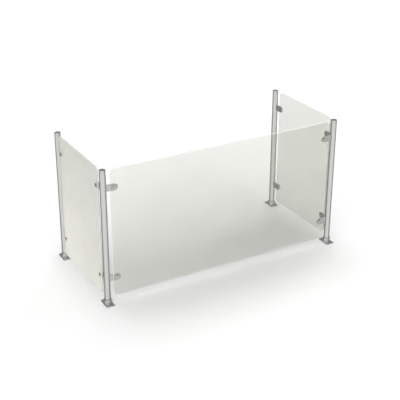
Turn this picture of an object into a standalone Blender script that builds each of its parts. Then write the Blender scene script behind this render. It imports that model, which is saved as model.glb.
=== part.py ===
"""Glass desk screen: three clear glass panels held in a U by four round steel posts.

Every post stands on a screwed-down base flange and ends in a turned cap.
Each vertical glass edge is held by two clamps.  A clamp is a flat arm with a
round end on the inner side of the glass, a shouldered bush in the glass hole,
and a button screw that comes through from the outer side.

Frame: metres, +Z up, origin on the desk surface at the middle of the four
base flanges.  +X runs along the long front panel, the front is at -Y, and the
open side is at +Y.
"""

import math

import bmesh
import bpy
from mathutils import Matrix, Vector

# ---------------------------------------------------------------- dimensions
MM = 0.001

GAP = 0.3 * MM                 # clearance between mating pieces
CUT_OVERRUN = 4 * MM           # how far a cutter stands clear of the face it opens

POST_SPAN_X = 1340 * MM        # between post axes, along the front
POST_SPAN_Y = 550 * MM         # between post axes, front to rear
TOTAL_HEIGHT = 725 * MM        # desk surface to top of cap
POST_R = 16 * MM
POST_WALL = 2 * MM
POST_INNER_R = POST_R - POST_WALL
PLUG_R = POST_INNER_R - GAP    # anything that fits inside the tube
SOCKET_R = POST_R + GAP        # anything that fits round the tube

PLATE_X = 43 * MM              # base flange plate
PLATE_Y = 80 * MM
PLATE_T = 6 * MM
PLATE_CORNER_R = 3 * MM
COLLAR_R = 19.6 * MM
COLLAR_TOP = 27 * MM           # height of the collar's rim above the desk
COLLAR_CHAMFER = 0.8 * MM
FLARE_R = 21.2 * MM            # foot of the collar where it meets the plate
FLARE_H = 4 * MM
SPIGOT_TOP = 46 * MM           # top of the stub inside the tube

FOOT_SCREW_OFFSET = 30 * MM    # screw centre from post axis, along Y
FOOT_HEAD_R = 4.8 * MM
FOOT_SHANK_R = 2.2 * MM
FOOT_HEAD_RECESS = 0.2 * MM    # depths below the top of the plate: head top,
FOOT_CONE_START = 0.8 * MM     # start of the countersunk cone,
FOOT_HEAD_DEPTH = 2.8 * MM     # end of the cone

CAP_SKIRT = 12.5 * MM          # visible height of the cap
CAP_EDGE_R = 1.8 * MM          # rounding of the cap's upper edge
CAP_PLUG = 16 * MM             # depth of the plug inside the tube
CAP_PLUG_CHAMFER = 1.5 * MM

GLASS_T = 6 * MM
GLASS_BOTTOM = 40.5 * MM
GLASS_TOP = 724 * MM
GLASS_MIDDLE = (GLASS_TOP + GLASS_BOTTOM) / 2
GLASS_CORNER_R = 25 * MM
GLASS_OUTBOARD = 7.0 * MM      # glass mid-plane outside the post axis plane
FRONT_END_GAP = 32 * MM        # post axis to the end of the front panel
SIDE_END_GAP = 38 * MM         # post axis to the end of a side panel
GLASS_HOLE_R = 6.2 * MM

CLAMP_REACH = 58.5 * MM        # post axis to clamp screw
CLAMP_HEIGHTS = {"upper": 625.5 * MM, "lower": 140.5 * MM}
ARM_HALF_H = 17 * MM           # half the arm's height, and its end radius
ARM_T = 6 * MM
ARM_ROOT = 10 * MM             # post axis to the arm outline, before it is cut to the tube
STUD_R = 4 * MM
STUD_BORE_R = STUD_R + GAP
STUD_DEPTH = 4.5 * MM          # length of stud inside the arm
STUD_END_GAP = 0.5 * MM        # between the stud's end and the floor of its bore
HEAD_R = 9.5 * MM
HEAD_T = 2.2 * MM
HEAD_EDGE_R = 0.7 * MM
WASHER_R = 13 * MM
WASHER_T = 0.8 * MM

# positions along a clamp's axis, measured from the glass mid-plane, +outwards
FACE = GLASS_T / 2
HEAD_LOW = FACE + GAP
HEAD_HIGH = HEAD_LOW + HEAD_T
WASHER_HIGH = -FACE - GAP
WASHER_LOW = WASHER_HIGH - WASHER_T
ARM_HIGH = WASHER_LOW - GAP
ARM_LOW = ARM_HIGH - ARM_T
STUD_END = ARM_HIGH - STUD_DEPTH

# segments round a full turn
SEG_POST = 32
SEG_HEAD = 16
SEG_BUSH = 16
SEG_FOOT_SCREW = 12

# segments along a part turn
SEG_ARM_END = 14
SEG_GLASS_CORNER = 5
SEG_PLATE_CORNER = 3
SEG_EDGE = 2

TURN_MERGE = 0.02 * MM         # joins the points of a turned profile on its axis
SHEET_MERGE = 0.01 * MM        # joins the faces and sides of a filled outline

# signs of X and Y at each post
CORNERS = {
    "front_left": (-1, -1),
    "front_right": (1, -1),
    "rear_left": (-1, 1),
    "rear_right": (1, 1),
}

# (clamp pair, post, outward normal of the glass, direction from post to screw)
CLAMP_PAIRS = [
    ("front_left", "front_left", (0, -1, 0), (1, 0, 0)),
    ("front_right", "front_right", (0, -1, 0), (-1, 0, 0)),
    ("left_front", "front_left", (-1, 0, 0), (0, 1, 0)),
    ("left_rear", "rear_left", (-1, 0, 0), (0, -1, 0)),
    ("right_front", "front_right", (1, 0, 0), (0, 1, 0)),
    ("right_rear", "rear_right", (1, 0, 0), (0, -1, 0)),
]

# inputs of each material's Principled shader
MATERIALS = {
    "brushed_steel_post": {
        "Base Color": (0.60, 0.595, 0.585, 1.0), "Metallic": 1.0, "Roughness": 0.30},
    "brushed_steel_fitting": {
        "Base Color": (0.52, 0.52, 0.515, 1.0), "Metallic": 1.0, "Roughness": 0.32},
    "polished_screw": {
        "Base Color": (0.62, 0.62, 0.62, 1.0), "Metallic": 1.0, "Roughness": 0.22},
    "clear_glass": {
        "Base Color": (0.80, 0.88, 0.84, 1.0), "Metallic": 0.0, "Roughness": 0.03,
        "Transmission Weight": 1.0, "IOR": 1.5},
    "nylon_bush": {
        "Base Color": (0.66, 0.67, 0.66, 1.0), "Metallic": 0.0, "Roughness": 0.55},
}

# --------------------------------------------------------------------- scene
for leftover in list(bpy.data.objects):
    bpy.data.objects.remove(leftover, do_unlink=True)

scene = bpy.context.scene
model = bpy.data.collections.new("desk_privacy_panel")
cutters = bpy.data.collections.new("cutters")
scene.collection.children.link(model)
scene.collection.children.link(cutters)


def material_for(kind, piece):
    """A material of its own for one piece."""
    material = bpy.data.materials.new(kind + "_" + piece)
    material.use_nodes = True
    shader = material.node_tree.nodes["Principled BSDF"]
    for name, value in MATERIALS[kind].items():
        shader.inputs[name].default_value = value
    material.diffuse_color = MATERIALS[kind]["Base Color"]
    return material


def empty_at(name, location, parent=None):
    empty = bpy.data.objects.new(name, None)
    empty.empty_display_size = 0.05
    empty.location = location
    empty.parent = parent
    scene.collection.objects.link(empty)
    return empty


def register(obj, kind, parent):
    """Put a finished piece in the model, with its material and its parent."""
    obj.data.materials.append(material_for(kind, obj.name))
    obj.parent = parent
    model.objects.link(obj)


# ------------------------------------------------------------- shape helpers
def turned(name, points, segments, closed=False):
    """A turned piece about local Z, from (radius, z) points.

    An open profile starts and ends on the axis, and a closed one gives a ring.
    """
    mesh = bpy.data.meshes.new(name)
    bm = bmesh.new()
    verts = [bm.verts.new((radius, 0.0, z)) for radius, z in points]
    for start, end in zip(verts, verts[1:]):
        bm.edges.new((start, end))
    if closed:
        bm.edges.new((verts[-1], verts[0]))
    bm.to_mesh(mesh)
    bm.free()
    obj = bpy.data.objects.new(name, mesh)
    screw = obj.modifiers.new("Turn", "SCREW")
    screw.axis = "Z"
    screw.angle = math.tau
    screw.steps = segments
    screw.render_steps = segments
    screw.use_merge_vertices = True
    screw.merge_threshold = TURN_MERGE
    screw.use_smooth_shade = True
    return obj


def turned_cutter(name, points, segments, place):
    """A turned helper, hidden from renders, that booleans refer to."""
    obj = turned(name, points, segments)
    obj.matrix_world = place
    obj.hide_render = True
    obj.display_type = "WIRE"
    cutters.objects.link(obj)
    return obj


def boolean(obj, operand, operation="DIFFERENCE"):
    modifier = obj.modifiers.new(operation.title() + "_" + operand.name, "BOOLEAN")
    modifier.operation = operation
    modifier.solver = "EXACT"
    modifier.object = operand


def arc(centre_x, centre_y, radius, start, stop, steps):
    """Points on an arc, angles in degrees, both ends included."""
    points = []
    for i in range(steps + 1):
        angle = math.radians(start + (stop - start) * i / steps)
        points.append((centre_x + radius * math.cos(angle),
                       centre_y + radius * math.sin(angle)))
    return points


def round_edge(radius, top, edge_r):
    """Profile points over the rounded upper edge of a disc, inside to outside."""
    return arc(radius - edge_r, top - edge_r, edge_r, 90, 0, SEG_EDGE)


def sheet(name, outlines, thickness):
    """A flat plate from closed outlines in local XY, later ones being holes."""
    curve = bpy.data.curves.new(name + "_outline", "CURVE")
    curve.dimensions = "2D"
    curve.fill_mode = "BOTH"
    curve.extrude = thickness / 2
    for outline in outlines:
        spline = curve.splines.new("POLY")
        spline.points.add(len(outline) - 1)
        for point, (x, y) in zip(spline.points, outline):
            point.co = (x, y, 0.0, 1.0)
        spline.use_cyclic_u = True

    # the curve is filled only once it is evaluated in the scene
    flat = bpy.data.objects.new(name + "_outline", curve)
    cutters.objects.link(flat)
    bpy.context.view_layer.update()
    graph = bpy.context.evaluated_depsgraph_get()
    mesh = bpy.data.meshes.new_from_object(flat.evaluated_get(graph))
    mesh.name = name
    bpy.data.objects.remove(flat, do_unlink=True)

    # faces and sides come out unjoined
    bm = bmesh.new()
    bm.from_mesh(mesh)
    bmesh.ops.remove_doubles(bm, verts=bm.verts, dist=SHEET_MERGE)
    bmesh.ops.recalc_face_normals(bm, faces=bm.faces)
    bm.to_mesh(mesh)
    bm.free()
    return bpy.data.objects.new(name, mesh)


# --------------------------------------------------------------------- stands
def post_tube(name):
    """Round tube, open at both ends."""
    top = TOTAL_HEIGHT - CAP_SKIRT - GAP
    bottom = PLATE_T + GAP
    ring = [(POST_R, top), (POST_R, bottom), (POST_INNER_R, bottom), (POST_INNER_R, top)]
    return turned(name, ring, SEG_POST, closed=True)


def post_cap(name):
    """Turned cap: skirt as wide as the tube, rounded rim, plug inside."""
    skirt = TOTAL_HEIGHT - CAP_SKIRT
    plug_end = skirt - CAP_PLUG
    line = [
        (0.0, TOTAL_HEIGHT),
        *round_edge(POST_R, TOTAL_HEIGHT, CAP_EDGE_R),
        (POST_R, skirt),
        (PLUG_R, skirt),
        (PLUG_R, plug_end + CAP_PLUG_CHAMFER),
        (PLUG_R - CAP_PLUG_CHAMFER, plug_end),
        (0.0, plug_end),
    ]
    return turned(name, line, SEG_POST)


def hub_line():
    """Spigot inside the tube, groove for the tube and flared collar, top to bottom."""
    flare = []
    for angle in (0, 45, 90):
        out = 1 - math.cos(math.radians(angle))
        up = 1 - math.sin(math.radians(angle))
        flare.append((COLLAR_R + (FLARE_R - COLLAR_R) * out, PLATE_T + FLARE_H * up))
    buried = PLATE_T / 2       # the hub ends inside the plate
    return [
        (0.0, SPIGOT_TOP),
        (PLUG_R, SPIGOT_TOP),
        (PLUG_R, PLATE_T),
        (SOCKET_R, PLATE_T),
        (SOCKET_R, COLLAR_TOP),
        (COLLAR_R - COLLAR_CHAMFER, COLLAR_TOP),
        (COLLAR_R, COLLAR_TOP - COLLAR_CHAMFER),
        *flare,
        (FLARE_R, buried),
        (0.0, buried),
    ]


def flange_plate(name):
    """Rectangular plate with rounded corners, its local origin at its middle."""
    bm = bmesh.new()
    bmesh.ops.create_cube(bm, size=1.0,
                          matrix=Matrix.Diagonal((PLATE_X, PLATE_Y, PLATE_T, 1.0)))
    upright = [edge for edge in bm.edges
               if abs(edge.verts[0].co.z - edge.verts[1].co.z) > PLATE_T / 2]
    bmesh.ops.bevel(bm, geom=upright, offset=PLATE_CORNER_R, segments=SEG_PLATE_CORNER,
                    profile=0.5, affect="EDGES")
    mesh = bpy.data.meshes.new(name)
    bm.to_mesh(mesh)
    bm.free()
    plate = bpy.data.objects.new(name, mesh)
    plate.location = (0.0, 0.0, PLATE_T / 2)
    return plate


def foot_screw_line(extra=0.0, top=PLATE_T - FOOT_HEAD_RECESS, bottom=0.0):
    """Countersunk screw, or its hole when `extra` adds clearance."""
    head = FOOT_HEAD_R + extra
    shank = FOOT_SHANK_R + extra
    return [
        (0.0, top),
        (head, top),
        (head, PLATE_T - FOOT_CONE_START - extra),
        (shank, PLATE_T - FOOT_HEAD_DEPTH - extra),
        (shank, bottom),
        (0.0, bottom),
    ]


def build_stand(corner, axis, parent):
    """Post, cap, base flange and the flange's two screws."""
    stand = empty_at("stand_" + corner, axis, parent)
    register(post_tube("post_tube_" + corner), "brushed_steel_post", stand)
    register(post_cap("post_cap_" + corner), "brushed_steel_fitting", stand)

    flange = flange_plate("base_flange_" + corner)
    hub = turned_cutter("hub_" + corner, hub_line(), SEG_POST, Matrix.Translation(axis))
    boolean(flange, hub, "UNION")

    for end, sign in (("front", -1), ("rear", 1)):
        offset = Vector((0.0, sign * FOOT_SCREW_OFFSET, 0.0))
        tag = corner + "_" + end
        hole_line = foot_screw_line(extra=GAP, top=PLATE_T + CUT_OVERRUN,
                                    bottom=-CUT_OVERRUN)
        sink = turned_cutter("sink_" + tag, hole_line, SEG_FOOT_SCREW,
                             Matrix.Translation(axis + offset))
        boolean(flange, sink)
        screw = turned("base_screw_" + tag, foot_screw_line(), SEG_FOOT_SCREW)
        screw.location = offset
        register(screw, "polished_screw", stand)
    register(flange, "brushed_steel_fitting", stand)


# --------------------------------------------------------------------- panels
UPRIGHT = Matrix.Rotation(math.radians(90), 4, "X")      # local Y becomes +Z
TURN_SIDE = Matrix.Rotation(math.radians(90), 4, "Z")    # local X becomes +Y


def build_glass(name, post_span, end_gap, place, parent):
    """Glass between two posts, with rounded corners and four clamp holes."""
    corner_x = post_span / 2 - end_gap - GLASS_CORNER_R
    corner_y = (GLASS_TOP - GLASS_BOTTOM) / 2 - GLASS_CORNER_R
    outline = []
    for sign_x, sign_y, start in ((1, 1, 0), (-1, 1, 90), (-1, -1, 180), (1, -1, 270)):
        outline += arc(sign_x * corner_x, sign_y * corner_y, GLASS_CORNER_R,
                       start, start + 90, SEG_GLASS_CORNER)

    hole_x = post_span / 2 - CLAMP_REACH
    holes = []
    for side in (-1, 1):
        for height in CLAMP_HEIGHTS.values():
            ring = arc(side * hole_x, height - GLASS_MIDDLE, GLASS_HOLE_R, 0, 360, SEG_BUSH)
            holes.append(ring[:-1])

    glass = sheet(name, [outline] + holes, GLASS_T)
    glass.matrix_world = place
    register(glass, "clear_glass", parent)


def build_panels(parent):
    front_y = -POST_SPAN_Y / 2 - GLASS_OUTBOARD
    build_glass("glass_front", POST_SPAN_X, FRONT_END_GAP,
                Matrix.Translation((0.0, front_y, GLASS_MIDDLE)) @ UPRIGHT, parent)
    for side, sign in (("left", -1), ("right", 1)):
        middle = (sign * (POST_SPAN_X / 2 + GLASS_OUTBOARD), 0.0, GLASS_MIDDLE)
        build_glass("glass_" + side, POST_SPAN_Y, SIDE_END_GAP,
                    Matrix.Translation(middle) @ TURN_SIDE @ UPRIGHT, parent)


# --------------------------------------------------------------------- clamps
# Local origin of every clamp piece: the screw axis at the glass mid-plane.
def clamp_frame(hole, outward, away):
    """Local axes of a clamp: +Z outwards through the glass, +X away from its post."""
    z = Vector(outward)
    x = Vector(away)
    y = z.cross(x)
    return Matrix.Translation(hole) @ Matrix((x, y, z)).transposed().to_4x4()


def clamp_arm(name):
    """Flat arm, round at the screw end, its flat towards the glass."""
    root_x = ARM_ROOT - CLAMP_REACH
    outline = [(root_x, ARM_HALF_H), (root_x, -ARM_HALF_H)]
    outline += arc(0.0, 0.0, ARM_HALF_H, -90, 90, SEG_ARM_END)
    arm = sheet(name, [outline], ARM_T)
    arm.data.transform(Matrix.Translation((0, 0, (ARM_HIGH + ARM_LOW) / 2)))
    return arm


def glass_bush(name):
    """Sleeve in the glass hole with a washer flange towards the arm."""
    sleeve = GLASS_HOLE_R - GAP
    sleeve_end = FACE - GAP
    ring = [
        (sleeve, sleeve_end),
        (sleeve, WASHER_HIGH),
        (WASHER_R, WASHER_HIGH),
        (WASHER_R, WASHER_LOW),
        (STUD_BORE_R, WASHER_LOW),
        (STUD_BORE_R, sleeve_end),
    ]
    return turned(name, ring, SEG_BUSH, closed=True)


def button_screw(name):
    """Button head on the outer side of the glass and its stud into the arm."""
    line = [
        (0.0, HEAD_HIGH),
        *round_edge(HEAD_R, HEAD_HIGH, HEAD_EDGE_R),
        (HEAD_R, HEAD_LOW),
        (STUD_R, HEAD_LOW),
        (STUD_R, STUD_END),
        (0.0, STUD_END),
    ]
    return turned(name, line, SEG_HEAD)


def stud_bore(name, place):
    """Cutter for the blind hole that takes the stud in the arm."""
    top = ARM_HIGH + CUT_OVERRUN
    floor = STUD_END - STUD_END_GAP
    line = [(0.0, top), (STUD_BORE_R, top), (STUD_BORE_R, floor), (0.0, floor)]
    return turned_cutter(name, line, SEG_BUSH, place)


def tube_cutter(name, axis):
    """The post tube with clearance, for cutting the roots of its clamp arms."""
    line = [(0.0, TOTAL_HEIGHT), (SOCKET_R, TOTAL_HEIGHT), (SOCKET_R, PLATE_T), (0.0, PLATE_T)]
    return turned_cutter(name, line, SEG_POST, Matrix.Translation(axis))


def build_clamp(tag, place, tube_cut, parent):
    """Arm, bush and button screw."""
    arm = clamp_arm("clamp_arm_" + tag)
    boolean(arm, tube_cut)
    boolean(arm, stud_bore("bore_" + tag, place))
    for piece, kind in ((arm, "brushed_steel_fitting"),
                        (glass_bush("glass_bush_" + tag), "nylon_bush"),
                        (button_screw("clamp_screw_" + tag), "polished_screw")):
        piece.matrix_world = place
        register(piece, kind, parent)


# ------------------------------------------------------------------- assembly
frame_origin = empty_at("frame_origin", (0, 0, 0))

post_axes = {}
tube_cuts = {}
for corner, (sign_x, sign_y) in CORNERS.items():
    axis = Vector((sign_x * POST_SPAN_X / 2, sign_y * POST_SPAN_Y / 2, 0.0))
    post_axes[corner] = axis
    tube_cuts[corner] = tube_cutter("cut_tube_" + corner, axis)
    build_stand(corner, axis, frame_origin)

build_panels(frame_origin)

for pair, corner, outward, away in CLAMP_PAIRS:
    for level, height in CLAMP_HEIGHTS.items():
        hole = (post_axes[corner] + CLAMP_REACH * Vector(away)
                + GLASS_OUTBOARD * Vector(outward) + Vector((0, 0, height)))
        build_clamp(pair + "_" + level, clamp_frame(hole, outward, away),
                    tube_cuts[corner], frame_origin)

bpy.context.view_layer.update()
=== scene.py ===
import math

import bmesh
import bpy
from mathutils import Matrix, Vector


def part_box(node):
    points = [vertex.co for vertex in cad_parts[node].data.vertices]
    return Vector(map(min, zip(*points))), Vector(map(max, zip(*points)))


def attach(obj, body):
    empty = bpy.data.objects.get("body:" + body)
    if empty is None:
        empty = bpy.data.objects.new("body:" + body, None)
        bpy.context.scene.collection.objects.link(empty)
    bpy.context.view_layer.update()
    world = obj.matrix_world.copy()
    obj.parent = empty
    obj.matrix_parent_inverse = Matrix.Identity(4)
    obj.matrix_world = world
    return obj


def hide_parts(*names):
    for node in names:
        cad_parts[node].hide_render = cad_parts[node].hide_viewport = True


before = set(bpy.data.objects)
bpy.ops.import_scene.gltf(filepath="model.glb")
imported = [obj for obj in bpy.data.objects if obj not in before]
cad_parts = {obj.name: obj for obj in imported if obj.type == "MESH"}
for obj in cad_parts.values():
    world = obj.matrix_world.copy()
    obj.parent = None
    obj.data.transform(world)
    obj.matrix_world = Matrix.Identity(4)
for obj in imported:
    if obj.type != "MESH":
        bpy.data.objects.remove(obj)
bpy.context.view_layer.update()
MM = 0.001


def middle(node):
    low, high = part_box(node)
    return (low + high) / 2


# =====================================================================
# shared sizes, read from the CAD pieces
# =====================================================================
GAP = 0.3 * MM                  # clearance between neighbouring pieces
CORNERS = ["front_left", "front_right", "rear_left", "rear_right"]
POSTS = {corner: middle("post_tube_" + corner) for corner in CORNERS}

tube_low, tube_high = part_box("post_tube_front_left")
POST_R = (tube_high.x - tube_low.x) / 2
POST_WALL = 2.0 * MM
POST_BORE_R = POST_R - POST_WALL
PLUG_R = POST_BORE_R - GAP      # whatever sits inside the tube
TUBE_BOTTOM, TUBE_TOP = tube_low.z, tube_high.z

# name, pane, post, outward direction, direction from the post along the pane
CLAMPS = [
    ("front_left", "front", "front_left", (0, -1, 0), (1, 0, 0)),
    ("front_right", "front", "front_right", (0, -1, 0), (-1, 0, 0)),
    ("left_front", "left", "front_left", (-1, 0, 0), (0, 1, 0)),
    ("left_rear", "left", "rear_left", (-1, 0, 0), (0, -1, 0)),
    ("right_front", "right", "front_right", (1, 0, 0), (0, 1, 0)),
    ("right_rear", "right", "rear_right", (1, 0, 0), (0, -1, 0)),
]
LEVELS = ("upper", "lower")


# =====================================================================
# outlines
# =====================================================================
def rounded(points, radii, steps):
    """2D polyline with each inner corner replaced by an arc of its radius."""
    outline = []
    last = len(points) - 1
    for i, (point, radius) in enumerate(zip(points, radii)):
        if radius <= 0 or i in (0, last):
            outline.append(tuple(point))
            continue
        before, corner, after = (Vector(p) for p in points[i - 1:i + 2])
        back = (before - corner).normalized()
        ahead = (after - corner).normalized()
        half = back.angle(ahead) / 2
        reach = radius / math.tan(half)
        centre = corner + (back + ahead).normalized() * (radius / math.sin(half))
        start = corner + back * reach - centre
        end = corner + ahead * reach - centre
        turn = start.angle(end)
        sign = 1 if start.x * end.y - start.y * end.x > 0 else -1
        for k in range(steps + 1):
            angle = sign * turn * k / steps
            cos, sin = math.cos(angle), math.sin(angle)
            spoke = Vector((start.x * cos - start.y * sin, start.x * sin + start.y * cos))
            outline.append(tuple(centre + spoke))
    return outline


def closed_rounded(points, radii, steps):
    """The same for a closed outline."""
    outline = []
    for i, radius in enumerate(radii):
        trio = [points[i - 1], points[i], points[(i + 1) % len(points)]]
        outline += rounded(trio, [0, radius, 0], steps)[1:-1]
    return outline


def rounded_rectangle(half_x, half_y, radius, steps):
    corners = [(half_x, half_y), (-half_x, half_y), (-half_x, -half_y), (half_x, -half_y)]
    return closed_rounded(corners, [radius] * 4, steps)


def circle(radius, count, centre_x=0.0, centre_y=0.0):
    return [(centre_x + radius * math.cos(math.tau * k / count),
             centre_y + radius * math.sin(math.tau * k / count)) for k in range(count)]


# =====================================================================
# meshes and objects
# =====================================================================
def add_object(name, data):
    obj = bpy.data.objects.new(name, data)
    bpy.context.scene.collection.objects.link(obj)
    return obj


def closed_mesh(name, bm):
    """Mesh from a closed bmesh, with its normals outward."""
    bmesh.ops.recalc_face_normals(bm, faces=bm.faces)
    mesh = bpy.data.meshes.new(name)
    bm.to_mesh(mesh)
    bm.free()
    return mesh


def bake(obj, name, helpers=()):
    """Evaluated mesh of obj; obj and its helpers are removed."""
    bpy.context.view_layer.update()
    graph = bpy.context.evaluated_depsgraph_get()
    mesh = bpy.data.meshes.new_from_object(obj.evaluated_get(graph))
    mesh.name = name
    for spent in [obj, *helpers]:
        bpy.data.objects.remove(spent, do_unlink=True)
    return mesh


def lathe(name, profile, segments, ring=False):
    """Solid of revolution about local Z, from (radius, height) points.

    A ring profile is closed on itself; any other starts and ends on the axis.
    """
    bm = bmesh.new()
    rows = []
    for radius, z in profile:
        spots = [(0.0, 0.0)] if radius < 1e-7 else circle(radius, segments)
        rows.append([bm.verts.new((x, y, z)) for x, y in spots])
    pairs = list(zip(rows, rows[1:]))
    if ring:
        pairs.append((rows[-1], rows[0]))
    for a, b in pairs:
        for k in range(segments):
            n = (k + 1) % segments
            if len(a) == 1:
                bm.faces.new((a[0], b[k], b[n]))
            elif len(b) == 1:
                bm.faces.new((a[k], b[0], a[n]))
            else:
                bm.faces.new((a[k], b[k], b[n], a[n]))
    return closed_mesh(name, bm)


def plate_mesh(name, outlines, thickness, edge, edge_steps):
    """Flat plate in local XY, centred on Z = 0, with all its edges eased."""
    curve = bpy.data.curves.new(name, "CURVE")
    curve.dimensions = "2D"
    curve.fill_mode = "BOTH"
    curve.extrude = thickness / 2 - edge
    curve.bevel_depth = edge
    curve.bevel_resolution = edge_steps
    curve.offset = -edge
    for outline in outlines:
        spline = curve.splines.new("POLY")
        spline.points.add(len(outline) - 1)
        for point, (x, y) in zip(spline.points, outline):
            point.co = (x, y, 0.0, 1.0)
        spline.use_cyclic_u = True
    mesh = bake(add_object(name, curve), name)
    bm = bmesh.new()
    bm.from_mesh(mesh)
    bmesh.ops.remove_doubles(bm, verts=bm.verts, dist=1e-6)
    bmesh.ops.recalc_face_normals(bm, faces=bm.faces)
    bm.to_mesh(mesh)
    bm.free()
    return mesh


def boolean_mesh(mesh, *operations):
    """mesh with solids added or cut away; each operation is (kind, mesh, matrix)."""
    base = add_object("work", mesh)
    helpers = []
    for kind, other, matrix in operations:
        helper = add_object("helper", other)
        helper.matrix_world = matrix
        helpers.append(helper)
        modifier = base.modifiers.new("cut", "BOOLEAN")
        modifier.operation = kind
        modifier.solver = "EXACT"
        modifier.object = helper
    return bake(base, mesh.name, helpers)


def shaded(mesh, angle=30.0):
    """mesh shaded smooth, but sharp where faces meet at more than angle degrees."""
    mesh.shade_smooth()
    mesh.set_sharp_from_angle(angle=math.radians(angle))
    return mesh


def at(x, y, z, rotation=Matrix.Identity(4)):
    return Matrix.Translation((x, y, z)) @ rotation


def axes_at(origin, x_axis, y_axis, z_axis):
    """Matrix that puts the local axes along the given directions."""
    return Matrix.Translation(origin) @ Matrix((x_axis, y_axis, z_axis)).transposed().to_4x4()


def piece(name, mesh, matrix, node, material=None):
    """One visible piece that stands for one CAD node."""
    obj = add_object(name, mesh)
    obj.matrix_world = matrix
    # a shared mesh takes its material only the first time
    if material and not mesh.materials:
        mesh.materials.append(material)
    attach(obj, "root")
    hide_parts(node)


# =====================================================================
# shader trees
# =====================================================================
class Tree:
    """Short hand for a shader tree; a node given as a value stands for its first output."""

    def __init__(self, owner, output):
        self.owner = owner
        owner.use_nodes = True
        self.tree = owner.node_tree
        self.tree.nodes.clear()
        self.output = self.node(output)

    def feed(self, socket, value):
        if isinstance(value, bpy.types.Node):
            value = value.outputs[0]
        if isinstance(value, bpy.types.NodeSocket):
            self.tree.links.new(value, socket)
        else:
            socket.default_value = value

    def node(self, kind, inputs=None, **settings):
        node = self.tree.nodes.new("ShaderNode" + kind)
        for key, value in settings.items():
            setattr(node, key, value)
        for key, value in (inputs or {}).items():
            self.feed(node.inputs[key], value)
        return node

    def finish(self, shader):
        self.feed(self.output.inputs["Surface"], shader)
        return self.owner

    def coords(self, kind="Object"):
        return self.node("TexCoord").outputs[kind]

    def noise(self, vector, scale, detail=3.0, rough=0.55):
        return self.node("TexNoise", {"Vector": vector, "Scale": scale, "Detail": detail,
                                      "Roughness": rough})

    def mapped(self, vector, scale):
        return self.node("Mapping", {"Vector": vector, "Scale": scale})

    def separate(self, vector):
        return self.node("SeparateXYZ", {0: vector}).outputs

    def math(self, operation, *values):
        return self.node("Math", dict(enumerate(values)), operation=operation)

    def span(self, value, low, high, start=0.0, end=1.0):
        """start..end of the value, carried to low..high."""
        return self.node("MapRange", {"Value": value, "From Min": start, "From Max": end,
                                      "To Min": low, "To Max": high})

    def ramp(self, value, stops):
        """Colour ramp from (position, colour) stops."""
        ramp = self.node("ValToRGB", {"Fac": value})
        elements = ramp.color_ramp.elements
        while len(elements) < len(stops):
            elements.new(0.5)
        for element, (position, colour) in zip(elements, stops):
            element.position = position
            element.color = (*colour, 1.0)
        return ramp

    def bump(self, height, strength, distance):
        return self.node("Bump", {"Strength": strength, "Distance": distance,
                                  "Height": height})

    def mix(self, share, first, second):
        return self.node("MixShader", {0: share, 1: first, 2: second})

    def mirrored_ray(self):
        """1 for a ray that left a shiny surface as a reflection."""
        path = self.node("LightPath").outputs
        return self.math("MULTIPLY", path["Is Glossy Ray"],
                         self.math("SUBTRACT", 1.0, path["Is Transmission Ray"]))


def new_material(name):
    return Tree(bpy.data.materials.new(name), "OutputMaterial")


def scaled(colour, factor):
    return tuple(channel * factor for channel in colour)


# =====================================================================
# materials
# =====================================================================
def steel(name, colour, rough, grain, dark=0.9, turned=False):
    """Satin stainless steel.

    grain is the scale of the polishing lines along local X, Y and Z (small
    means long lines that way). turned gives rings about local Z instead.
    dark is how far the darkest bands fall below the colour.
    """
    t = new_material(name)
    coords = t.coords()
    line_space = coords
    if turned:
        x, y, z = t.separate(coords)
        squares = t.math("ADD", t.math("POWER", x, 2.0), t.math("POWER", y, 2.0))
        line_space = t.node("CombineXYZ", {0: t.math("SQRT", squares), 2: z})
    lines = t.noise(t.mapped(line_space, grain), scale=1.0, detail=5.0, rough=0.7)
    cloud = t.noise(coords, scale=9.0)
    smear = t.noise(t.mapped(coords, (1, 1, 0.35)), scale=38.0, detail=4.0, rough=0.6)
    # faint bands of the lines and soft clouds
    line_share, cloud_share = 0.6, 0.4
    bands = t.math("ADD", t.math("MULTIPLY", lines, line_share),
                   t.math("MULTIPLY", cloud, cloud_share))
    swing = 0.03                # roughness change, for the lines and again for the smears
    inputs = {
        "Base Color": t.ramp(bands, [(0.32, scaled(colour, dark)),
                                     (0.68, scaled(colour, 2 - dark))]),
        "Metallic": 1.0,
        "Roughness": t.math("ADD", t.span(lines, low=rough - swing, high=rough + swing),
                            t.span(smear, low=-swing, high=swing)),
        "Normal": t.bump(lines, strength=0.08, distance=0.00004),
    }
    if not turned:
        inputs["Anisotropic"] = 0.35
    return t.finish(t.node("BsdfPrincipled", inputs))


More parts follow.
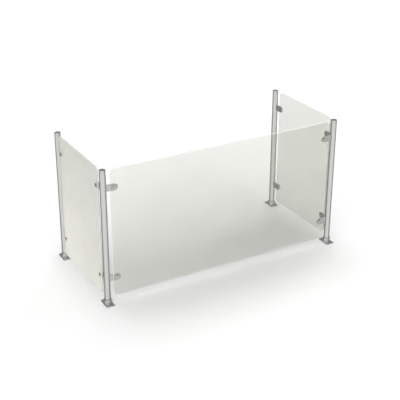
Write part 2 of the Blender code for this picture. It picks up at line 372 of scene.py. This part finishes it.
def glass_face(name):
    """Clear toughened glass: faint tint, a trace of roller wave, sparse dust, and a pale matt
    layer of painted reflection that builds up as the pane is looked along, painted lighter
    towards the bottom of the pane."""
    tint = (0.909, 0.912, 0.890)
    painted_reflection_power, painted_reflection_gain, painted_reflection_limit = 6.0, 8.6, 0.86
    painted_reflection_low, painted_reflection_high = (0.715, 0.715, 0.655), (0.515, 0.515, 0.47)
    painted_reflection_height = 0.34         # the painted reflection's colour changes over this far below and above centre: lighter at the bottom as painted floor light, darker at the top
    t = new_material(name)
    path = t.node("LightPath").outputs
    coords = t.coords()
    wave = t.noise(t.mapped(coords, (0.5, 2.2, 1)), scale=5.0, detail=1.0)
    speck = t.noise(coords, scale=420.0, detail=1.0)
    film = t.noise(coords, scale=7.0, detail=4.0, rough=0.6)
    glass = t.node("BsdfGlass", {
        "IOR": 1.5,
        "Color": t.ramp(film, [(0.35, scaled(tint, 0.992)), (0.7, scaled(tint, 1.006))]),
        "Roughness": 0.0,
        "Normal": t.bump(wave, strength=0.05, distance=0.00008),
    }, distribution="GGX")
    # painted reflection: a pale matt layer that stands in for the reflection and grows as the
    # pane is looked along
    facing = t.node("LayerWeight", {"Blend": 0.5}).outputs["Facing"]
    painted_reflection_share = t.math("MULTIPLY", t.math("POWER", facing, painted_reflection_power), painted_reflection_gain)
    painted_reflection_share = t.math("MULTIPLY", painted_reflection_share, t.span(speck, low=0.96, high=1.04, start=0.3, end=0.7))
    painted_reflection_share = t.math("MULTIPLY", painted_reflection_share, t.span(film, low=0.97, high=1.03, start=0.35, end=0.65))
    painted_reflection_share = t.math("MINIMUM", painted_reflection_share, painted_reflection_limit)
    # painted shade and light: the matt layer is lighter towards the bottom of the pane, where
    # the floor lights it, and darker towards the top
    rise = t.span(t.separate(coords)[1], low=0.0, high=1.0,
                  start=-painted_reflection_height, end=painted_reflection_height)
    painted_reflection = t.node("BsdfDiffuse", {"Color": t.ramp(rise, [(0.0, painted_reflection_low),
                                                          (1.0, painted_reflection_high)])})
    shown = t.mix(painted_reflection_share, glass, painted_reflection)
    # light that a matt surface sends to the glass stops there, as in a soft studio shadow
    stop = t.node("BsdfDiffuse", {"Color": (0.20, 0.205, 0.16, 1.0)})
    seen = t.mix(path["Is Diffuse Ray"], shown, stop)
    # mirrored light from the metal parts passes the panes unchanged
    return t.finish(t.mix(t.mirrored_ray(), seen, t.node("BsdfTransparent")))


def glass_rim(name):
    """Ground and polished glass edge: pale, faintly blue-green, a little milky."""
    t = new_material(name)
    streak = t.noise(t.mapped(t.coords(), (60, 60, 900)), scale=1.0, detail=4.0, rough=0.65)
    tone = t.ramp(streak, [(0.3, (0.87, 0.90, 0.88)), (0.7, (0.94, 0.96, 0.945))])
    side = t.node("NewGeometry").outputs
    body = t.mix(t.span(side["Backfacing"], low=0.08, high=1.0),
                 t.node("BsdfDiffuse", {"Color": tone}),
                 t.node("BsdfTranslucent", {"Color": tone}))
    gloss_share = 0.35
    fresnel = t.node("Fresnel", {"IOR": 1.5})
    surface = t.mix(t.math("MULTIPLY", fresnel, gloss_share), body,
                    t.node("BsdfGlossy", {"Roughness": 0.25}))
    # an edge that faces up, or is seen from inside the pane, lets light straight through
    open_upward, open_inside = 0.5, 0.6
    open_edge = t.node("BsdfTransparent", {"Color": (0.97, 0.98, 0.97, 1.0)})
    rising = t.math("MAXIMUM", t.separate(side["Normal"])[2], 0.0)
    rising = t.math("MULTIPLY", rising, open_upward)
    inside = t.span(side["Backfacing"], low=0.0, high=open_inside)
    return t.finish(t.mix(t.math("MAXIMUM", rising, inside), surface, open_edge))


def nylon(name):
    """Matt moulded nylon with a fine sparked texture."""
    colour = (0.62, 0.63, 0.61)
    sheen_share = 0.85
    t = new_material(name)
    coords = t.coords()
    cells = t.noise(coords, scale=900.0)
    cloud = t.noise(coords, scale=60.0, detail=2.0)
    body = t.node("BsdfPrincipled", {
        "Base Color": t.ramp(cloud, [(0.3, scaled(colour, 0.93)), (0.7, scaled(colour, 1.04))]),
        "Roughness": t.span(cells, low=0.42, high=0.6),
        "Subsurface Weight": 0.15,
        "Subsurface Radius": (0.002, 0.002, 0.002),
        "Normal": t.bump(cells, strength=0.25, distance=0.00005),
    })
    sheen = t.node("BsdfGlossy", {"Color": (0.77, 0.765, 0.74, 1.0), "Roughness": 0.45})
    return t.finish(t.mix(sheen_share, body, sheen))


def floor_white(name):
    """Pale top in which light spreads, so shadows have no hard edge;
    reflections look straight through it."""
    t = new_material(name)
    spread = t.node("SubsurfaceScattering", {
        "Color": (0.80, 0.80, 0.80, 1.0),
        "Scale": 0.5,           # how far light spreads, in metres
        "Radius": (1.0, 1.0, 1.0),
    }, falloff="BURLEY")
    return t.finish(t.mix(t.mirrored_ray(), spread, t.node("BsdfTransparent")))


TUBE = steel("steel_tube", colour=(0.63, 0.62, 0.605), rough=0.19, grain=(1500, 1500, 18),
             dark=0.97)
CAP = steel("steel_cap", colour=(0.64, 0.64, 0.63), rough=0.24, grain=(900, 900, 2600),
            turned=True)
ARM = steel("steel_arm", colour=(0.545, 0.54, 0.525), rough=0.30, grain=(30, 1500, 1500))
BASE = steel("steel_base", colour=(0.54, 0.54, 0.535), rough=0.28, grain=(1400, 30, 1400))
SCREW = steel("steel_screw", colour=(0.51, 0.51, 0.50), rough=0.20,
              grain=(2600, 2600, 2600), turned=True)
GLASS = glass_face("glass_clear")
RIM = glass_rim("glass_edge")
BUSH = nylon("nylon_washer")


# =====================================================================
# posts and caps
# =====================================================================
def tube():
    profile = closed_rounded(
        [(POST_R, TUBE_TOP), (POST_R, TUBE_BOTTOM),
         (POST_BORE_R, TUBE_BOTTOM), (POST_BORE_R, TUBE_TOP)],
        [0.35 * MM, 0.35 * MM, 0.2 * MM, 0.2 * MM], steps=3)
    return shaded(lathe("tube", profile, 128, ring=True))


def cap():
    """Disc on top of the tube, with a plug that reaches down inside it."""
    low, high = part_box("post_cap_front_left")
    skirt = TUBE_TOP + GAP
    profile = rounded(
        [(0.0, high.z), (POST_R, high.z), (POST_R, skirt), (PLUG_R, skirt),
         (PLUG_R, low.z), (0.0, low.z)],
        [0, 1.8 * MM, 0.3 * MM, 0, 1.4 * MM, 0], steps=7)
    return shaded(lathe("cap", profile, 128))


def build_posts():
    tube_mesh, cap_mesh = tube(), cap()
    for corner, axis in POSTS.items():
        place = at(axis.x, axis.y, 0)
        piece("tube_" + corner, tube_mesh, place, "post_tube_" + corner,
              TUBE)
        piece("cap_" + corner, cap_mesh, place, "post_cap_" + corner,
              CAP)


build_posts()

# =====================================================================
# base flanges and their screws
# =====================================================================
base_low, base_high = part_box("base_flange_front_left")
PLATE_T = TUBE_BOTTOM - GAP
PLATE_CORNER_R = 3.0 * MM
PLATE_EDGE = 0.7 * MM
COLLAR_R = 19.6 * MM
COLLAR_TOP = 27.0 * MM
FLARE_R = 21.2 * MM             # foot of the collar, where it meets the plate
FLARE_H = 4.0 * MM

HEAD_R = 4.8 * MM
HEAD_RIM = 0.8 * MM             # straight part of the head below the plate's top
HEAD_DEPTH = 2.8 * MM           # from the plate's top to the end of the cone
SHANK_R = 2.2 * MM
MOUTH = 0.25 * MM               # eased mouth of the countersink
OVERSHOOT = 4 * MM              # how far the sink cutter stands out of the plate
SCREW_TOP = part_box("base_screw_front_left_rear")[1].z
SCREW_OFFSET = middle("base_screw_front_left_rear").y - POSTS["front_left"].y
CROSS_ARM = 2.6 * MM            # half length of the recess
CROSS_HALF_WIDTH = 0.55 * MM
CROSS_DEPTH = 2.0 * MM
TURN_STEP, TURN_START = 37, 11  # degrees between the recesses of successive screws


def hub():
    """Plug inside the tube and collar outside it, with the tube's groove between them."""
    groove_out = POST_R + GAP
    flare = []
    for degrees in range(0, 91, 10):
        angle = math.radians(degrees)
        flare.append((COLLAR_R + (FLARE_R - COLLAR_R) * (1 - math.cos(angle)),
                      PLATE_T + FLARE_H * (1 - math.sin(angle))))
    plug = rounded([(0.0, base_high.z), (PLUG_R, base_high.z), (PLUG_R, PLATE_T)],
                   [0, 1.0 * MM, 0], steps=4)
    collar = rounded([plug[-1], (groove_out, PLATE_T), (groove_out, COLLAR_TOP),
                      (COLLAR_R, COLLAR_TOP), flare[0]],
                     [0, 0, 0.3 * MM, 0.9 * MM, 0], steps=5)[1:-1]
    foot = [(FLARE_R, PLATE_T / 2), (0.0, PLATE_T / 2)]
    return lathe("hub", plug + collar + flare + foot, 96)


def sink():
    """Cutter for a countersunk screw hole."""
    head, shank = HEAD_R + GAP, SHANK_R + GAP
    return lathe("sink", [
        (0.0, PLATE_T + OVERSHOOT), (head + MOUTH, PLATE_T + OVERSHOOT),
        (head + MOUTH, PLATE_T - MOUTH), (head, PLATE_T - 2 * MOUTH),
        (head, PLATE_T - HEAD_RIM - GAP), (shank, PLATE_T - HEAD_DEPTH - GAP),
        (shank, -OVERSHOOT), (0.0, -OVERSHOOT)], 40)


def flange():
    outline = rounded_rectangle((base_high.x - base_low.x) / 2, (base_high.y - base_low.y) / 2,
                                PLATE_CORNER_R, steps=6)
    plate = plate_mesh("flange", [outline], PLATE_T, PLATE_EDGE, edge_steps=2)
    plate.transform(Matrix.Translation((0, 0, PLATE_T / 2)))
    collar, cutter = hub(), sink()
    return shaded(boolean_mesh(
        plate,
        ("UNION", collar, Matrix.Identity(4)),
        ("DIFFERENCE", cutter, at(0, SCREW_OFFSET, 0)),
        ("DIFFERENCE", cutter, at(0, -SCREW_OFFSET, 0))))


def cross_cutter():
    """Cross recess, narrowing as it goes down."""
    # height, scale of the cross there
    levels = [(SCREW_TOP + 1 * MM, 1.0), (SCREW_TOP - CROSS_DEPTH * 0.6, 0.72),
              (SCREW_TOP - CROSS_DEPTH, 0.35)]
    bm = bmesh.new()
    rings = []
    for z, scale in levels:
        a = CROSS_ARM * scale
        w = CROSS_HALF_WIDTH * (0.6 + 0.4 * scale)      # the width narrows less than the arm
        outline = [(a, w), (w, w), (w, a), (-w, a), (-w, w), (-a, w),
                   (-a, -w), (-w, -w), (-w, -a), (w, -a), (w, -w), (a, -w)]
        rings.append([bm.verts.new((x, y, z)) for x, y in outline])
    for lower, upper in zip(rings[1:], rings):
        for i in range(12):
            j = (i + 1) % 12
            bm.faces.new((lower[i], lower[j], upper[j], upper[i]))
    bm.faces.new(rings[0])
    bm.faces.new(list(reversed(rings[-1])))
    return closed_mesh("cross", bm)


def base_screw():
    profile = rounded(
        [(0.0, SCREW_TOP), (HEAD_R, SCREW_TOP), (HEAD_R, PLATE_T - HEAD_RIM),
         (SHANK_R, PLATE_T - HEAD_DEPTH), (SHANK_R, 0.0), (0.0, 0.0)],
        [0, 0.3 * MM, 0, 0, 0.3 * MM, 0], steps=3)
    blank = lathe("base_screw", profile, 40)
    return shaded(boolean_mesh(blank, ("DIFFERENCE", cross_cutter(), Matrix.Identity(4))))


def build_bases():
    flange_mesh, screw_mesh = flange(), base_screw()
    for i, (corner, axis) in enumerate(POSTS.items()):
        piece("flange_" + corner, flange_mesh, at(axis.x, axis.y, 0),
              "base_flange_" + corner, BASE)
        for k, end in enumerate(("front", "rear")):
            node = f"base_screw_{corner}_{end}"
            spot = middle(node)
            degrees = (TURN_STEP * (2 * i + k) + TURN_START) % 90
            turn = Matrix.Rotation(math.radians(degrees), 4, "Z")
            piece(f"screw_{corner}_{end}", screw_mesh, at(spot.x, spot.y, 0, turn), node,
                  SCREW)


build_bases()

# =====================================================================
# glass
# =====================================================================
UPRIGHT = Matrix.Rotation(math.radians(90), 4, "X")
SIDEWAYS = Matrix.Rotation(math.radians(90), 4, "Z") @ UPRIGHT
GLASS_CORNER_R = 25.0 * MM
GLASS_EDGE = 0.9 * MM
HOLE_R = 6.2 * MM
FLAT_FACE = 0.985               # least normal Z of a polygon on a pane's broad faces


def build_pane(pane, along, turn):
    """Pane with its clamp holes; along is the world axis (0 = X, 1 = Y) it runs on."""
    node, name = "glass_" + pane, "pane_" + pane
    low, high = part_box(node)
    size = high - low
    centre = (low + high) / 2
    outlines = [rounded_rectangle(size[along] / 2, size.z / 2, GLASS_CORNER_R, steps=16)]
    for clamp, clamped, *_ in CLAMPS:
        if clamped != pane:
            continue
        for level in LEVELS:
            spot = middle(f"clamp_screw_{clamp}_{level}") - centre
            outlines.append(circle(HOLE_R, 48, spot[along], spot.z))
    mesh = plate_mesh(name, outlines, size[1 - along], GLASS_EDGE, edge_steps=1)
    mesh.materials.append(GLASS)
    mesh.materials.append(RIM)
    shaded(mesh, 14.0)
    for polygon in mesh.polygons:
        if abs(polygon.normal.z) > FLAT_FACE:
            polygon.material_index = 0
            polygon.use_smooth = False
        else:
            polygon.material_index = 1
    piece(name, mesh, at(*centre, turn), node)


build_pane("front", 0, UPRIGHT)
build_pane("left", 1, SIDEWAYS)
build_pane("right", 1, SIDEWAYS)

# =====================================================================
# clamps: local Z points out of the screen from the glass mid-plane,
# local X runs along the pane away from the post
# =====================================================================
glass_low, glass_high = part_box("glass_front")
arm_low, arm_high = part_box("clamp_arm_front_left_upper")
button_low, button_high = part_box("clamp_screw_front_left_upper")
bush_low, bush_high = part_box("glass_bush_front_left_upper")

PLANE_Y = middle("glass_front").y
FACE = (glass_high.y - glass_low.y) / 2         # mid-plane to a face of the glass
HEAD_OUT = PLANE_Y - button_low.y               # outer end of the button head
STUD_END = PLANE_Y - button_high.y
ARM_OUT = PLANE_Y - arm_low.y
ARM_IN = PLANE_Y - arm_high.y
WASHER_IN = PLANE_Y - bush_high.y
BUTTON_R = (button_high.z - button_low.z) / 2
ARM_R = (arm_high.z - arm_low.z) / 2
WASHER_R = (bush_high.z - bush_low.z) / 2
STUD_R = 4.0 * MM
STUD_BORE_R = STUD_R + GAP
REACH = middle("clamp_screw_front_left_upper").x - POSTS["front_left"].x
ARM_ROOT = 10 * MM                              # from the post's axis to the arm's square end
ARM_EDGE = 1.0 * MM
SADDLE_R = POST_R + 0.15 * MM
SADDLE_HALF = 60 * MM                           # half length of the saddle cutter


def button():
    """Button head outside the glass, with a stud through the bush and the arm."""
    profile = rounded(
        [(0.0, HEAD_OUT), (BUTTON_R, HEAD_OUT), (BUTTON_R, FACE + GAP),
         (STUD_R, FACE + GAP), (STUD_R, STUD_END), (0.0, STUD_END)],
        [0, 1.1 * MM, 0.3 * MM, 0, 0.5 * MM, 0], steps=6)
    return shaded(lathe("button", profile, 72))


def bush():
    """Sleeve in the glass hole, with a washer on the inner face."""
    sleeve_r = HOLE_R - GAP
    washer_top = -FACE - GAP
    profile = closed_rounded(
        [(sleeve_r, FACE - GAP), (sleeve_r, washer_top), (WASHER_R, washer_top),
         (WASHER_R, WASHER_IN), (STUD_BORE_R, WASHER_IN), (STUD_BORE_R, FACE - GAP)],
        [0.3 * MM, 0.2 * MM, 0.25 * MM, 0.25 * MM, 0.2 * MM, 0.2 * MM], steps=3)
    return shaded(lathe("bush", profile, 64, ring=True))


def arm_blank():
    """Arm with a round end at the screw, before it is cut to the post."""
    root = -(REACH - ARM_ROOT)
    outline = [(root, ARM_R), (root, -ARM_R)]
    for k in range(41):
        angle = math.radians(-90 + 180 * k / 40)
        outline.append((ARM_R * math.cos(angle), ARM_R * math.sin(angle)))
    mesh = plate_mesh("arm", [outline], ARM_OUT - ARM_IN, ARM_EDGE, edge_steps=3)
    mesh.transform(Matrix.Translation((0, 0, (ARM_OUT + ARM_IN) / 2)))
    return mesh


def cylinder_cutter(name, radius, top, bottom, segments):
    return lathe(name, [(0.0, top), (radius, top), (radius, bottom), (0.0, bottom)], segments)


def build_clamps():
    button_mesh, bush_mesh, blank = button(), bush(), arm_blank()
    bore = cylinder_cutter("bore", STUD_BORE_R, ARM_OUT + 3 * MM, STUD_END - 0.5 * MM, 48)
    saddle = cylinder_cutter("saddle", SADDLE_R, SADDLE_HALF, -SADDLE_HALF, 128)
    arm_meshes = {}
    for clamp, pane, corner, outward, away in CLAMPS:
        glass_mid = middle("glass_" + pane)
        z_axis, x_axis = Vector(outward), Vector(away)
        y_axis = z_axis.cross(x_axis)
        for level in LEVELS:
            tag = f"{clamp}_{level}"
            spot = middle("clamp_screw_" + tag)
            hole = Vector((glass_mid.x if outward[0] else spot.x,
                           glass_mid.y if outward[1] else spot.y, spot.z))
            place = axes_at(hole, x_axis, y_axis, z_axis)
            # one arm mesh where local Y points up (1) and one where it points down (-1)
            hand = round(y_axis.z)
            if hand not in arm_meshes:
                post = POSTS[corner]
                post_local = place.inverted() @ Vector((post.x, post.y, spot.z))
                arm_meshes[hand] = shaded(boolean_mesh(
                    blank, ("DIFFERENCE", saddle, at(*post_local, UPRIGHT)),
                    ("DIFFERENCE", bore, Matrix.Identity(4))))
            piece("arm_" + tag, arm_meshes[hand], place, "clamp_arm_" + tag,
                  ARM)
            piece("bush_" + tag, bush_mesh, place, "glass_bush_" + tag, BUSH)
            piece("button_" + tag, button_mesh, place, "clamp_screw_" + tag,
                  SCREW)


build_clamps()

# =====================================================================
# stage: floor, world, lights, camera
# =====================================================================
FLOOR_HALF = 60.0
FLOOR_Z = -0.0002               # just below the flanges
CAMERA_PLACE = (-2.28365, -3.99103, 2.48793)
# radians: heading from +Y towards +X, tilt below the horizon, roll about the view
CAMERA_HEADING, CAMERA_TILT, CAMERA_ROLL = 0.51117, 0.43148, -0.00156

# brightness met by a reflection: cosine of its heading (-1 facing away from the
# camera, 1 facing it), brightness
SIDES = [(-0.5, 0.33), (-0.17, 0.36), (0.0, 0.41), (0.25, 0.68), (0.5, 1.00), (0.9, 1.05)]
SCREEN_GAIN = 1.6               # extra brightness of the low screen behind
DOME = 0.05                     # world brightness for matt surfaces
BACKDROP = 1.02                 # world brightness seen directly or through glass

# name, degrees from straight up, degrees from +X towards +Y, strength, spread in degrees
LIGHTS = [
    ("top_softbox", 0, 0, 0.29, 30),
    ("rear_softbox", 25, 90, 1.37, 36),
    ("front_softbox", 25, 270, 0.46, 36),
    ("right_softbox", 50, 0, 0.25, 44),
    ("front_screen", 50, 270, 0.92, 44),
    ("low_front", 70, 270, 0.90, 36),
    ("low_right", 70, 30, 1.34, 36),
    ("low_rear", 70, 150, 0.78, 36),
    ("low_left", 70, 210, 1.45, 36),
]


def build_floor():
    mesh = bpy.data.meshes.new("floor")
    bm = bmesh.new()
    bmesh.ops.create_grid(bm, x_segments=1, y_segments=1, size=FLOOR_HALF)
    bm.to_mesh(mesh)
    bm.free()
    floor = add_object("floor", mesh)
    floor.location = (0, 0, FLOOR_Z)
    mesh.materials.append(floor_white("floor_white"))


def build_world():
    """White to the camera and through glass; reflections meet a studio that is bright
    on the camera's side, dim at both sides and has a low bright screen behind."""
    world = bpy.data.worlds.new("studio")
    bpy.context.scene.world = world
    t = Tree(world, "OutputWorld")
    path = t.node("LightPath").outputs
    heading = t.coords("Generated")
    to_camera = (-math.sin(CAMERA_HEADING), -math.cos(CAMERA_HEADING), 0.0)
    facing = t.node("VectorMath", {0: heading, 1: to_camera},
                    operation="DOT_PRODUCT").outputs["Value"]
    sides = t.ramp(t.span(facing, low=0.0, high=1.0, start=-1.0, end=1.0),
                   [((cosine + 1) / 2, (level,) * 3) for cosine, level in SIDES])
    # the screen is only met by reflections that go back and down
    down = t.span(t.separate(heading)[2], low=0.0, high=1.0, start=-0.05, end=-0.30)
    back = t.span(facing, low=0.0, high=1.0, start=-0.80, end=-0.93)
    screen = t.math("MULTIPLY", down, back)
    studio = t.node("Background", {
        "Color": sides,
        "Strength": t.math("MULTIPLY_ADD", screen, SCREEN_GAIN, 1.0),
    })
    white = (1.0, 1.0, 1.0, 1.0)
    dome = t.node("Background", {"Color": white, "Strength": DOME})
    backdrop = t.node("Background", {"Color": white, "Strength": BACKDROP})
    seen = t.math("MAXIMUM", path["Is Camera Ray"], path["Is Transmission Ray"])
    t.finish(t.mix(seen, t.mix(path["Is Glossy Ray"], dome, studio), backdrop))


def build_lights():
    """Soft suns that do not show in reflections."""
    for name, zenith, azimuth, strength, spread in LIGHTS:
        light = bpy.data.lights.new(name, "SUN")
        light.energy = strength
        light.angle = math.radians(spread)
        obj = add_object(name, light)
        z, a = math.radians(zenith), math.radians(azimuth)
        toward = Vector((math.sin(z) * math.cos(a), math.sin(z) * math.sin(a), math.cos(z)))
        obj.rotation_mode = "QUATERNION"
        obj.rotation_quaternion = toward.to_track_quat("Z", "Y")
        obj.visible_glossy = False


def build_camera():
    lens = bpy.data.cameras.new("camera")
    lens.sensor_width = 36.0
    lens.lens = 85.17726
    lens.shift_x, lens.shift_y = 0.0239825, -0.03048
    lens.clip_start, lens.clip_end = 0.1, 200.0
    camera = add_object("camera", lens)
    bpy.context.scene.camera = camera
    sin_heading, cos_heading = math.sin(CAMERA_HEADING), math.cos(CAMERA_HEADING)
    cos_tilt = math.cos(CAMERA_TILT)
    forward = Vector((sin_heading * cos_tilt, cos_heading * cos_tilt, -math.sin(CAMERA_TILT)))
    right = Vector((cos_heading, -sin_heading, 0.0))
    up = right.cross(forward)
    sin_roll, cos_roll = math.sin(CAMERA_ROLL), math.cos(CAMERA_ROLL)
    camera.matrix_world = axes_at(CAMERA_PLACE, right * cos_roll + up * sin_roll,
                                  up * cos_roll - right * sin_roll, -forward)


build_floor()
build_world()
build_lights()
build_camera()

view = bpy.context.scene.view_settings
view.view_transform = "Standard"
view.look = "None"
view.exposure = 0.0
view.gamma = 1.0
